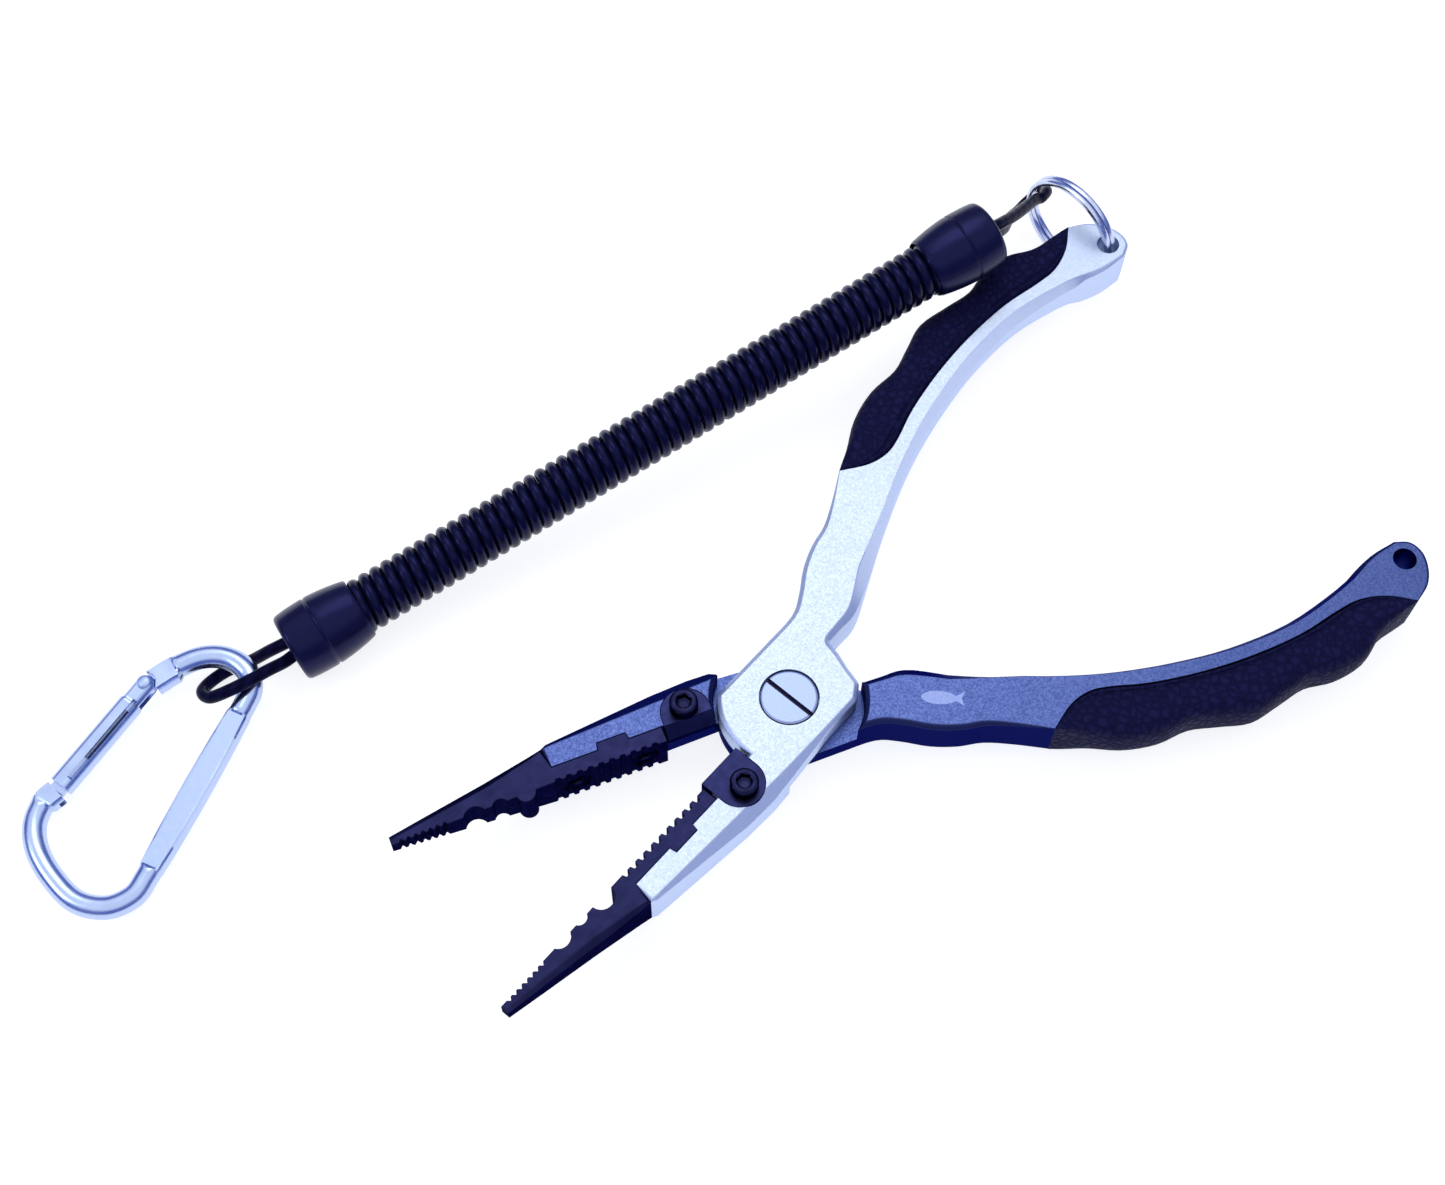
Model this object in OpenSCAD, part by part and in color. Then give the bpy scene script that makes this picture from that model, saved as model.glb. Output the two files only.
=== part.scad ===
// Fishing pliers: two lapped aluminium halves with steel jaw inserts and side
// cutters, soft grips, a split ring, a coiled lanyard and a carabiner.
// Millimetres. Origin on the pivot axis at the underside of the halves,
// +X along the closed centre line towards the handles, +Y towards the half
// that carries the lanyard, +Z up through the pivot screw.

/* [Pliers] */
// Full thickness of each half
thick = 10; // [8:0.5:14]
// Angle that each half stands open at rest
half_open = 13.5; // [0:0.5:16]
// Radius of the round plates that lap at the pivot
plate_r = 13.8; // [12:0.1:16]
// Radius of the shoulders that face the plates
shoulder_r = 14.5; // [13:0.1:17]
// Gap between the lapped plates, filled by the washer
lap_gap = 0.4; // [0.2:0.1:1]
// Thickness that the grips stand proud of the metal
grip_proud = 0.6; // [0:0.1:1.5]
// Radius of the lanyard hole in each handle
hole_r = 2.35; // [1.5:0.05:3]

/* [Pivot] */
// Radius of the slotted screw head
head_r = 5.6; // [4:0.1:8]
// Depth of the counterbore that holds the head
head_h = 2; // [1:0.1:3]
// Radius of the nut's sleeve, which is the bearing
sleeve_r = 4; // [3:0.1:6]
// Radial running clearance of the sleeve in the lower plate
running = 0.04; // [0.01:0.01:0.1]
// Radius of the screw's shank
shank_r = 2.5; // [2:0.1:3.5]

/* [Jaws] */
// Distance from the pivot to the jaw tips
jaw_reach = 79.6; // [60:0.1:100]
// Half of the gap that is left between the closed jaws
jaw_gap = 0.1; // [0:0.05:0.5]
// Radius of the insert and cutter screws
m3_r = 1.5; // [1:0.1:2]

/* [Lanyard] */
// Outer radius of the coiled cord
coil_r = 5.7; // [4:0.1:8]
// Length of the coil between the two end caps
coil_len = 134; // [100:1:200]
// Diameter of the cord in the loops
cord_d = 2.5; // [2:0.1:4]
// Diameter of the carabiner's rod
rod_d = 4.6; // [4:0.1:6]

/* [Hidden] */
$fn = 48;
lap_z = thick / 2;                       // mid height of the lap
hole_at = [123.9, 17.2];                 // lanyard hole in a half's own frame
blade_at = [-19.4, -5.5];                // cutter screw in a half's own frame
blade_z = 4;                             // floor of the cutter pocket
screw_u = [-43, -29.4];                  // insert screws along the jaw
spring_r = 7.2;                          // mean radius of the return spring
spring_wire = 1.4;
ring_mean_r = 11.15;
ring_wire = [1.3, 2.6];                  // radial and axial size of the two turns
ring_at = [115.1, 55.7, 6.4];
ring_az = 97.6;                          // plan direction of the ring's plane
lanyard_at = [-56, 66.3, 3.6];         // coil's clip end
lanyard_az = -3.3;
lanyard_el = 6.16;
cup_len = 8.8;
lid_len = 7;
carabiner_at = [-117.1, 44.1, -2.45];    // wide end of the spine
carabiner_az = 30.3;
carabiner_tilt = 3.6;                    // the loop lifts the narrow end
spine_len = 37.4;
hinge_at = [33.2, 19.5];                 // gate pin, in the carabiner's frame
nose_at = [7.9, 24.3];

// Control points, each half in its own frame with its handle at +y.
inner_pts = [[9, 2.1], [15, 2.1], [23, 2.1], [31, 5.6], [41.5, 10.3], [52, 14.4],
             [61.5, 17.2], [72.5, 19.3], [84, 20.5], [97, 20.1], [109.5, 17.2],
             [118, 14], [124, 12.9]];
end_pts = [[124, 12.9], [127, 14.2], [128.2, 17.2], [127.4, 20.8], [125.4, 23.8], [121.8, 26.2]];
edge_pts = [[121.8, 26.2], [117, 23.2], [111.5, 21.8], [106, 22.4], [97, 24.2], [86, 24.8],
            [75, 24.2], [65, 22.6], [58, 20.6], [53.7, 20], [49.3, 21.2], [44.3, 24.6]];
neck_pts = [[44.3, 24.6], [38.2, 21.4], [33, 19.1], [28, 18], [23, 16], [18, 12.9],
            [13.6, 11], [6, 10.8]];
finger_pts = [[44.3, 24.6], [50, 27.4], [56.5, 30.8], [63.6, 32.3], [70.5, 31.9],
              [76.3, 33.4], [82.6, 35], [89.5, 33.7], [95.5, 32.4], [101.5, 33.2],
              [108, 32.2], [112.6, 29.2], [116.4, 27.8], [121.8, 26.2]];
rib_pts = [[113, 21], [106, 25], [97, 27], [86, 27.6], [75, 27], [65, 25.4], [57, 21]];
arm = [[-47.6, -7.5], [-46.5, -8.1], [-24, -10.9], [-17, -11.2], [-11, -10.8], [0, -10],
       [0, -2], [-24.4, -2], [-24.4, -3.3], [-31.4, -3.3], [-31.65, -4.7], [-37.4, -4.7],
       [-37.7, -3.2], [-46.9, -3.2]];
plate = [[-16, -10], [8.6, -10], [9.8, -8.2], [12.5, -1.4], [14.2, 2.1], [16, 10.8],
         [-16, 10.8]];

// Cord routes, hand-laid.
ring_loop_pts = [[88.3, 57.7, 20.5], [93, 57.6, 20.8], [102, 60.2, 15.2], [111.1, 63.9, 9],
                 [113.9, 64.4, 7.5], [116.6, 65.7, 6], [117.3, 66.9, 4.5], [116.4, 68.1, 2.7],
                 [113.4, 68.1, 1.5], [110.6, 67.2, 2.1], [105.8, 65, 5.5], [99, 60, 12.9],
                 [93, 57.6, 18.2], [88.1, 58, 18]];
clip_loop_pts = [[-67.2, 68.4, 2.6], [-71.4, 68.8, 2.1], [-75, 70.2, 0],
                 [-79, 72.4, -3.9], [-83.7, 73.3, -4.1], [-87.7, 72.8, -3.6],
                 [-90, 71.1, -2.1], [-89.5, 68.2, 0], [-86.2, 66, 2.8],
                 [-81.4, 64.6, 4.7], [-77.5, 64.7, 4.1], [-74, 65.2, 2.5],
                 [-71.4, 65.7, 2], [-67.2, 65.8, 2.4]];
// Rod centre line from the spine's narrow end round to the gate hinge, and from
// the spine's wide end round to the nose.
narrow_pts = [[34, 0], [37.6, 0], [40.8, 0.4], [43.5, 2.4], [44.7, 6], [44.2, 9.8],
              [42.2, 13.2], [38.6, 16.3], [35.8, 18]];
wide_pts = [[3, 0], [-0.5, 0], [-4.7, 0.5], [-8.6, 4], [-9.9, 9.8], [-7.8, 16.2],
            [-4.4, 21.6], [-0.2, 24.8], [4.4, 25.5], [7.4, 24.5]];

// A smooth run through the points, steps per span (Catmull-Rom).
function catmull(p0, p1, p2, p3, t) =
    0.5 * (2 * p1 + (p2 - p0) * t + (2 * p0 - 5 * p1 + 4 * p2 - p3) * t * t
           + (3 * p1 - p0 - 3 * p2 + p3) * t * t * t);
function smooth(p, steps) =
    let (n = len(p))
    [for (i = [0 : n - 2]) for (k = [0 : steps - 1])
        catmull(i == 0 ? 2 * p[0] - p[1] : p[i - 1], p[i], p[i + 1],
                i == n - 2 ? 2 * p[n - 1] - p[n - 2] : p[i + 2], k / steps),
     p[n - 1]];
function cut_last(p) = [for (i = [0 : len(p) - 2]) p[i]];
function unit(v) = v / norm(v);
function flat3(p) = [for (q = p) [q[0], q[1], 0]];

// A tube swept along a path: each ring stands square to the path.
function frame_u(t) = unit(cross(t, abs(t[2]) < 0.9 ? [0, 0, 1] : [1, 0, 0]));
module tube(path, r, sides) {
    n = len(path);
    rings = [for (i = [0 : n - 1])
        let (t = unit(path[min(i + 1, n - 1)] - path[max(i - 1, 0)]),
             u = frame_u(t), v = cross(t, u))
        for (k = [0 : sides - 1])
            path[i] + r * (cos(360 * k / sides) * u + sin(360 * k / sides) * v)];
    sides_f = [for (i = [0 : n - 2]) for (k = [0 : sides - 1])
        let (a = i * sides + k, b = i * sides + (k + 1) % sides)
        each [[a, b + sides, b], [a, a + sides, b + sides]]];
    polyhedron(rings, concat(sides_f, [[for (k = [0 : sides - 1]) k]],
               [[for (k = [1 : sides]) n * sides - k]]), convexity = 6);
}

// Puts a half's own frame into place.
module as_silver() rotate([0, 0, half_open]) children();
module as_gunmetal() rotate([0, 0, -half_open]) mirror([0, 1, 0]) children();
// Along the lanyard, from the coil's clip end towards the split ring.
module on_lanyard() translate(lanyard_at) rotate([0, 90 - lanyard_el, lanyard_az])
    children();
module on_carabiner() translate(carabiner_at) rotate([0, 0, carabiner_az])
    rotate([0, -carabiner_tilt, 0]) children();
module across_jaw(u) translate([u, 0, lap_z]) rotate([90, 0, 0]) children();

module handle_2d() polygon(concat(
    cut_last(smooth(inner_pts, 3)), cut_last(smooth(end_pts, 4)),
    cut_last(smooth(edge_pts, 3)), smooth(neck_pts, 3)));
module grip_2d() polygon(concat(
    cut_last(smooth(edge_pts, 3)), cut_last(smooth(finger_pts, 4))));
module rib_2d() polygon(smooth(rib_pts, 3));
module half_2d() {
    handle_2d();
    polygon(arm);
    intersection() { circle(plate_r, $fn = 96); polygon(plate); }
}
module blade_2d(edge) intersection() {
    union() {
        translate(blade_at + [0, 1.1]) circle(4.9);
        translate([blade_at[0] - 4.9, blade_at[1] + 1.1]) square([9.8, 9]);
    }
    translate([-40, edge - 20]) square([40, 20]);
}

// One half without its lap: arm, plate and handle at full thickness.
module blank(edge) {
    difference() {
        union() {
            linear_extrude(thick) half_2d();
            translate([0, 0, 3]) linear_extrude(thick - 6) rib_2d();
        }
        translate([0, 0, blade_z]) linear_extrude(thick) blade_2d(edge);
        translate([hole_at[0], hole_at[1], -1]) cylinder(r = hole_r, h = thick + 2);
        translate([blade_at[0], blade_at[1], 1.2]) cylinder(r = m3_r, h = thick);
        for (u = screw_u) across_jaw(u) cylinder(r = m3_r, h = 7.5);
    }
}
module spring_groove(z0, z1) translate([0, 0, z0]) difference() {
    cylinder(r = spring_r + 1.1, h = z1 - z0);
    translate([0, 0, -1]) cylinder(r = spring_r - 1.1, h = z1 - z0 + 2);
}

module silver_handle() color("#dfe6ef") as_silver() difference() {
    blank(0.85);
    translate([0, 0, -1]) cylinder(r = shoulder_r, h = lap_z + lap_gap / 2 + 1, $fn = 96);
    translate([0, 0, -1]) cylinder(r = sleeve_r, h = thick + 2);
    translate([0, 0, thick - head_h]) cylinder(r = head_r + 0.1, h = head_h + 1);
    spring_groove(lap_z, lap_z + 1);
    rotate([0, 0, 154]) translate([spring_r, 0, lap_z]) cylinder(r = 0.6, h = 3);
}

module gunmetal_handle() color("#5f6f96") as_gunmetal() difference() {
    blank(-0.9);
    translate([0, 0, lap_z - lap_gap / 2]) cylinder(r = shoulder_r, h = thick, $fn = 96);
    translate([0, 0, -1]) cylinder(r = sleeve_r + running, h = thick + 2);
    translate([0, 0, -1]) cylinder(r = head_r + 0.2, h = head_h + 1);
    spring_groove(lap_z - 1, lap_z);
    // Slot for the spring's lower leg, as long as the handles' travel.
    rotate([0, 0, -120]) translate([0, 0, 2.4]) rotate_extrude(angle = 2 * half_open + 14)
        translate([spring_r - 0.9, 0]) square([1.8, 3]);
}

module grip_solid() difference() {
    translate([0, 0, -grip_proud]) linear_extrude(thick + 2 * grip_proud) grip_2d();
    translate([0, 0, 3]) linear_extrude(thick - 6) rib_2d();
}
module silver_grip() color("#25253a") as_silver() grip_solid();
module gunmetal_grip() color("#25253a") as_gunmetal() grip_solid();

// Nose insert: full height at its heel, thinner towards the tip.
module insert_2d(male) {
    difference() {
        polygon([[-jaw_reach, -jaw_gap], [-24.8, -jaw_gap], [-24.8, -3.3], [-31.4, -3.3],
                 [-31.65, -4.7], [-37.4, -4.7], [-37.7, -3.2], [-46.9, -3.2],
                 [-47.6, -7.5], [-jaw_reach, -1.9]]);
        for (i = [0 : 6]) translate([-77.6 + 1.42 * i, 0])
            polygon([[-0.55, 0.1], [0.55, 0.1], [0, -0.65]]);
        for (i = [0 : 9]) translate([-46.6 + 2.15 * i, 0])
            polygon([[-0.75, 0.1], [0.75, 0.1], [0.35, -0.95], [-0.35, -0.95]]);
        translate([-63.4, 0.9]) circle(2.3);
        translate([-58.3, 0.6]) circle(1.6);
        if (!male) translate([-52.8, 0]) circle(2.45);
    }
}
module countersunk(extra) {
    translate([0, 0, 0.5]) cylinder(r = 2.8 + extra, h = 0.5);
    translate([0, 0, 1]) cylinder(r1 = 2.8 + extra, r2 = m3_r, h = 1.3);
    translate([0, 0, 1]) cylinder(r = m3_r, h = 6);
}
module insert_solid(male) difference() {
    union() {
        intersection() {
            linear_extrude(thick) insert_2d(male);
            rotate([90, 0, 0]) translate([0, 0, -10]) linear_extrude(30)
                polygon([[-20, 0], [-20, thick], [-47, thick], [-jaw_reach, 8.3],
                         [-jaw_reach, 5], [-47, 0]]);
        }
        // Round bump that crimps a sleeve into the other jaw's hollow.
        if (male) translate([-53, -jaw_gap - 0.2, 1.4]) cylinder(r = 1.9, h = 7.8);
    }
    for (u = screw_u) across_jaw(u) {
        countersunk(0);
        translate([0, 0, -3]) cylinder(r = 2.8, h = 3.6);
    }
}
module silver_jaw_insert() color("#33333f") as_silver() insert_solid(false);
module gunmetal_jaw_insert() color("#33333f") as_gunmetal() insert_solid(true);

module insert_screws() for (u = screw_u) across_jaw(u) difference() {
    countersunk(0);
    translate([0, 0, 0]) cylinder(d = 2 / cos(30), h = 1.6, $fn = 6);
}
module silver_insert_screws() color("#2a2a34") as_silver() insert_screws();
module gunmetal_insert_screws() color("#2a2a34") as_gunmetal() insert_screws();

// Cutting blades: one is ground to an edge, the other stands square as its anvil.
module blade_solid(edge) difference() {
    translate([0, 0, blade_z]) linear_extrude(thick - blade_z) blade_2d(edge);
    translate([blade_at[0], blade_at[1], 0]) cylinder(r = m3_r, h = 20);
}
module bevel(pts) translate([-30, 0, 0]) rotate([90, 0, 90]) linear_extrude(20) polygon(pts);
module silver_cutter() color("#2f2f3c") as_silver() difference() {
    blade_solid(0.85);
    bevel([[-1.2, blade_z - 1], [-1.2, blade_z], [0.85, 6.4], [2, 6.4], [2, blade_z - 1]]);
}
module gunmetal_cutter() color("#2f2f3c") as_gunmetal() difference() {
    blade_solid(-0.9);
    bevel([[-3.2, thick + 1], [-3.2, thick], [-0.9, 7.8], [1, 7.8], [1, thick + 1]]);
    bevel([[-2.6, blade_z - 1], [-2.6, blade_z], [-0.9, 6.6], [1, 6.6], [1, blade_z - 1]]);
}
module cutter_screw() translate([blade_at[0], blade_at[1], 0]) difference() {
    union() {
        translate([0, 0, 1.2]) cylinder(r = m3_r, h = thick);
        translate([0, 0, thick]) cylinder(r = 2.75, h = 2.6);
        translate([0, 0, thick + 2.6]) cylinder(r1 = 2.75, r2 = 2.45, h = 0.3);
    }
    translate([0, 0, thick + 1.4]) cylinder(d = 2.5 / cos(30), h = 3, $fn = 6);
}
module silver_cutter_screw() color("#2a2a34") as_silver() cutter_screw();
module gunmetal_cutter_screw() color("#2a2a34") as_gunmetal() cutter_screw();

// The slot lies across the head, 13 degrees off the closed centre line's normal.
module pivot_screw() color("#d5dbe6") difference() {
    union() {
        translate([0, 0, thick - head_h]) cylinder(r = head_r, h = head_h, $fn = 72);
        translate([0, 0, 1]) cylinder(r = shank_r, h = thick - head_h);
    }
    rotate([0, 0, -76]) translate([-10, -0.45, thick - 0.9]) cube([20, 0.9, 2]);
}
module pivot_nut() color("#c9ced8") difference() {
    union() {
        cylinder(r = head_r, h = head_h - 0.1, $fn = 72);
        cylinder(r = sleeve_r, h = thick - head_h);
    }
    translate([0, 0, 1]) cylinder(r = shank_r, h = thick);
}
module friction_washer() color("#caa766") translate([0, 0, lap_z - lap_gap / 2 + 0.04])
    difference() {
        cylinder(r = 5.9, h = lap_gap - 0.04);
        translate([0, 0, -1]) cylinder(r = sleeve_r, h = 3);
    }
// One open turn of wire with a leg up into the silver half and a leg down.
module return_spring() color("#8f96a3") as_silver() {
    rotate([0, 0, 150]) rotate_extrude(angle = 300) translate([spring_r, lap_z])
        circle(d = spring_wire, $fn = 24);
    rotate([0, 0, 154]) translate([spring_r, 0, lap_z]) cylinder(r = 0.6, h = 2.9);
    rotate([0, 0, 86]) translate([spring_r, 0, 2.6]) cylinder(r = 0.6, h = 2.4);
}

module split_ring() color("#dbe2ee") translate(ring_at) rotate([90, 0, ring_az])
    rotate_extrude($fn = 72) translate([ring_mean_r - ring_wire[0] / 2, -ring_wire[1] / 2])
        square(ring_wire);

// End cap: an open cup over the coil and a lid that the loop comes out of.
module cap_cup() rotate_extrude() polygon([[coil_r + 0.1, 0], [6.3, 0], [6.6, 0.3],
    [7.5, cup_len], [coil_r + 0.1, cup_len]]);
module cap_lid() difference() {
    rotate_extrude() polygon([[0, lid_len - 1.6], [0, lid_len], [6.8, lid_len],
        [7.15, lid_len - 0.4], [7.5, 0], [coil_r + 0.1, 0], [coil_r + 0.1, lid_len - 1.6]]);
    translate([0, 0, -1]) cylinder(r = 3.1, h = lid_len + 2);
}
module ferrule() translate([0, 0, 4]) cylinder(r = 3.2, h = 6.6);
module at_ring_end() on_lanyard() translate([0, 0, coil_len]) children();
module at_clip_end() on_lanyard() mirror([0, 0, 1]) children();
module ring_cap_cup() color("#1d1d2b") at_ring_end() cap_cup();
module ring_cap_lid() color("#1d1d2b") at_ring_end() translate([0, 0, cup_len]) cap_lid();
module ring_ferrule() color("#9aa2b3") at_ring_end() ferrule();
module clip_cap_cup() color("#1d1d2b") at_clip_end() cap_cup();
module clip_cap_lid() color("#1d1d2b") at_clip_end() translate([0, 0, cup_len]) cap_lid();
module clip_ferrule() color("#9aa2b3") at_clip_end() ferrule();
module lanyard_coil() color("#17172a") on_lanyard() translate([0, 0, -3])
    cylinder(r = coil_r, h = coil_len + 6);
module ring_loop() color("#17172a") tube(smooth(ring_loop_pts, 2), cord_d / 2, 8);
module clip_loop() color("#17172a") tube(smooth(clip_loop_pts, 2), cord_d / 2, 8);

module carabiner_body() color("#c3d0ea") on_carabiner() difference() {
    union() {
        translate([1, -2.4, -1.9]) cube([spine_len - 2, 4.8, 3.8]);
        tube(smooth(flat3(narrow_pts), 2), rod_d / 2, 12);
        tube(smooth(flat3(wide_pts), 2), rod_d / 2, 12);
        // Flat tongue that the gate's fork straddles.
        translate([hinge_at[0], hinge_at[1], -0.8]) cylinder(r = 2, h = 1.6);
        translate([hinge_at[0], hinge_at[1], -0.8]) rotate([0, 0, -30])
            translate([0, -2, 0]) cube([4, 4, 1.6]);
    }
    translate([hinge_at[0], hinge_at[1], -5]) cylinder(r = 0.85, h = 10);
    // Slot in the nose for the gate's tongue.
    translate([nose_at[0], nose_at[1], 0]) rotate([0, 0, -10.7])
        translate([-2.6, -5, -0.9]) cube([6, 10, 1.8]);
}
// The gate lies along +x from the hinge to the nose in its own frame.
module on_gate() on_carabiner() translate([hinge_at[0], hinge_at[1], 0])
    rotate([0, 0, 169.3]) children();
module carabiner_gate() color("#d4def2") on_gate() difference() {
    union() {
        rotate([0, 90, 0]) cylinder(d = rod_d - 0.2, h = 23.6);
        sphere(d = rod_d - 0.2);
        translate([20, -1.6, -0.8]) cube([6.6, 3.2, 1.6]);
    }
    translate([-4, -4, -0.85]) cube([8.6, 8, 1.7]);
    translate([6, 0, 0]) rotate([0, 90, 0]) cylinder(r = 0.7, h = 12);
    translate([0, 0, -5]) cylinder(r = 0.83, h = 10);
}
module gate_pin() color("#b9c6e2") on_gate() {
    translate([0, 0, -2.4]) cylinder(r = 0.8, h = 4.8);
    translate([0, 0, 2.25]) cylinder(r1 = 1.5, r2 = 1.1, h = 0.5);
    mirror([0, 0, 1]) translate([0, 0, 2.25]) cylinder(r1 = 1.5, r2 = 1.1, h = 0.5);
}
module gate_spring() color("#8f96a3") on_gate()
    translate([6.2, 0, 0]) rotate([0, 90, 0]) cylinder(r = 0.6, h = 11.6);

silver_handle();
gunmetal_handle();
silver_grip();
gunmetal_grip();
silver_jaw_insert();
gunmetal_jaw_insert();
silver_insert_screws();
gunmetal_insert_screws();
silver_cutter();
gunmetal_cutter();
silver_cutter_screw();
gunmetal_cutter_screw();
pivot_screw();
pivot_nut();
friction_washer();
return_spring();
split_ring();
ring_loop();
ring_cap_cup();
ring_cap_lid();
ring_ferrule();
lanyard_coil();
clip_cap_cup();
clip_cap_lid();
clip_ferrule();
clip_loop();
carabiner_body();
carabiner_gate();
gate_pin();
gate_spring();
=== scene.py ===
# %% [markdown]
# Fishing pliers with a coiled lanyard.
#
# The real tool has two bead-blasted aluminium halves that lap at a slotted
# pivot screw, black steel jaw inserts and side cutters, leather-grain grips,
# and a coiled cord that runs from a split ring to a small carabiner.
# Every piece is placed in the loaded frame, in millimetres that are turned
# to metres only when a mesh is made.

# %% Load the frame
import math

import bmesh
import bpy
import numpy as np
from mathutils import Matrix, Vector


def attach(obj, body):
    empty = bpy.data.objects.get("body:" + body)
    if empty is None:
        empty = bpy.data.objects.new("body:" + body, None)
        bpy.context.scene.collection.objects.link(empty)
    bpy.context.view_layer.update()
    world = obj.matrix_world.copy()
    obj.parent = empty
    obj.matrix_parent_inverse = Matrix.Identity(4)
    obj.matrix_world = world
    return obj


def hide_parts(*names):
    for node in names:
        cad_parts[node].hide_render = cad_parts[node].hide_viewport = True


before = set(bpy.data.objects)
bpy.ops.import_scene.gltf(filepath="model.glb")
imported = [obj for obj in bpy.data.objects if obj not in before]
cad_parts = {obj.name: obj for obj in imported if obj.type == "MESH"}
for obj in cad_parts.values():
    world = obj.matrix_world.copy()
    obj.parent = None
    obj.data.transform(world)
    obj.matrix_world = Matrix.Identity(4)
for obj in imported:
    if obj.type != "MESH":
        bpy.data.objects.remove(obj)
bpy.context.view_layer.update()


def in_scene(name, data):
    """A new object with that data, linked into the scene."""
    thing = bpy.data.objects.new(name, data)
    bpy.context.scene.collection.objects.link(thing)
    return thing


# %% [markdown]
# The camera comes first. It stands low over the jaws and looks down at the
# pliers from the side of the gunmetal half, with a slight roll. A long-ish
# lens keeps the jaws and the handle ends in proportion.

# %% Camera
MM = 0.001
VIEW_AZIMUTH = math.radians(36.1)
VIEW_ELEVATION = math.radians(63.6)
VIEW_ROLL = math.radians(0.91)
CAMERA_AT = Vector((-112.8, -132.6, 404.0)) * MM
LENS_MM = 56.3
SENSOR_MM = 36

sideways = Vector((math.cos(VIEW_AZIMUTH), -math.sin(VIEW_AZIMUTH), 0))
backward = Vector((-math.cos(VIEW_ELEVATION) * math.sin(VIEW_AZIMUTH),
                   -math.cos(VIEW_ELEVATION) * math.cos(VIEW_AZIMUTH),
                   math.sin(VIEW_ELEVATION)))
upward = backward.cross(sideways)
turn = Matrix((sideways, upward, backward)).transposed().to_4x4()
camera = in_scene("camera", bpy.data.cameras.new("camera"))
camera.data.lens = LENS_MM
camera.data.sensor_width = SENSOR_MM
camera.data.clip_start = 0.01
camera.matrix_world = (Matrix.Translation(CAMERA_AT) @ turn
                       @ Matrix.Rotation(VIEW_ROLL, 4, "Z"))
bpy.context.scene.camera = camera
print("camera at", [round(v, 3) for v in CAMERA_AT])

# %% [markdown]
# The driving sizes are the same as in the part's source: both halves share
# one flat shape, drawn in its own frame with the pivot at the origin, the
# jaw towards -u and the handle at +v. Silver turns one way and gunmetal is
# its mirror image turned the other way.

# %% Driving sizes and places
THICK = 10
LAP = 0.2                      # each lapped face stands this far off mid height
PLATE_R = 13.8
SHOULDER_R = 14.5
HALF_OPEN = math.radians(13.5)
HOLE_AT, HOLE_R = (123.9, 17.2), 2.35
BLADE_AT, BLADE_R, BLADE_Z = (-19.4, -5.5), 4.9, 4
SCREW_U = (-43, -29.4)
HEAD_R, HEAD_H = 5.6, 2
COIL_R, COIL_LEN, CORD_D = 5.7, 134, 2.5
CUP_LEN, LID_LEN = 8.8, 7
ROD_R = 2.3
HINGE_AT, NOSE_AT = (33.2, 19.5), (7.9, 24.3)
FLOOR_Z = -5.4

SILVER = Matrix.Rotation(HALF_OPEN, 4, "Z")
GUNMETAL = Matrix.Rotation(-HALF_OPEN, 4, "Z") @ Matrix.Scale(-1, 4, (0, 1, 0))
HALVES = (("silver", SILVER), ("gunmetal", GUNMETAL))
HERE = Matrix.Identity(4)


def turned_to(place, z_turn, tilt, about):
    """A place that is tilted about one axis, then turned about Z, then moved."""
    return (Matrix.Translation(place) @ Matrix.Rotation(math.radians(z_turn), 4, "Z")
            @ Matrix.Rotation(math.radians(tilt), 4, about))


LANYARD = turned_to((-56, 66.3, 3.6), -3.3, 90 - 6.16, "Y")
RING_END = LANYARD @ Matrix.Translation((0, 0, COIL_LEN))
CLIP_END = LANYARD @ Matrix.Scale(-1, 4, (0, 0, 1))
RING = turned_to((115.1, 55.7, 6.4), 97.6, 90, "X")
CARABINER = turned_to((-117.1, 44.1, -2.45), 30.3, -3.6, "Y")
GATE = (CARABINER @ Matrix.Translation((*HINGE_AT, 0))
        @ Matrix.Rotation(math.radians(169.3), 4, "Z"))
print("lanyard points from", tuple(round(v) for v in LANYARD.translation))

# %% [markdown]
# Every solid here is a run of rings joined by quads: a plate is a few insets
# of one outline, a turned part is circles along an axis, and a cord is
# circles along a path. So one function makes them all, and the shapes differ
# only in their rings.

# %% From rings to meshes
def loft(rings, wrap=False):
    """Points and faces of a skin over equal rings, closed by flat ends or by wrapping."""
    rings = np.asarray(rings, float)
    count, around = rings.shape[:2]
    faces = []
    for i in range(count if wrap else count - 1):
        a, b = i * around, (i + 1) % count * around
        faces += [(a + k, a + (k + 1) % around, b + (k + 1) % around, b + k)
                  for k in range(around)]
    if not wrap:
        faces.append(tuple(range(around))[::-1])
        faces.append(tuple(range((count - 1) * around, count * around)))
    return rings.reshape(-1, 3), faces


def join_shells(*shells):
    """Several closed skins as one list of points and faces."""
    points, faces, start = [], [], 0
    for p, f in shells:
        points.append(p)
        faces += [tuple(i + start for i in face) for face in f]
        start += len(p)
    return np.vstack(points), faces


def raw_object(name, shell):
    """A mesh object in millimetres, with its faces turned outward."""
    mesh = bpy.data.meshes.new(name)
    mesh.from_pydata(shell[0].tolist(), [], shell[1])
    work = bmesh.new()
    work.from_mesh(mesh)
    bmesh.ops.remove_doubles(work, verts=work.verts, dist=0.0005)
    bmesh.ops.dissolve_degenerate(work, edges=work.edges, dist=0.0005)
    bmesh.ops.recalc_face_normals(work, faces=work.faces)
    work.to_mesh(mesh)
    work.free()
    return in_scene(name, mesh)


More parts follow.
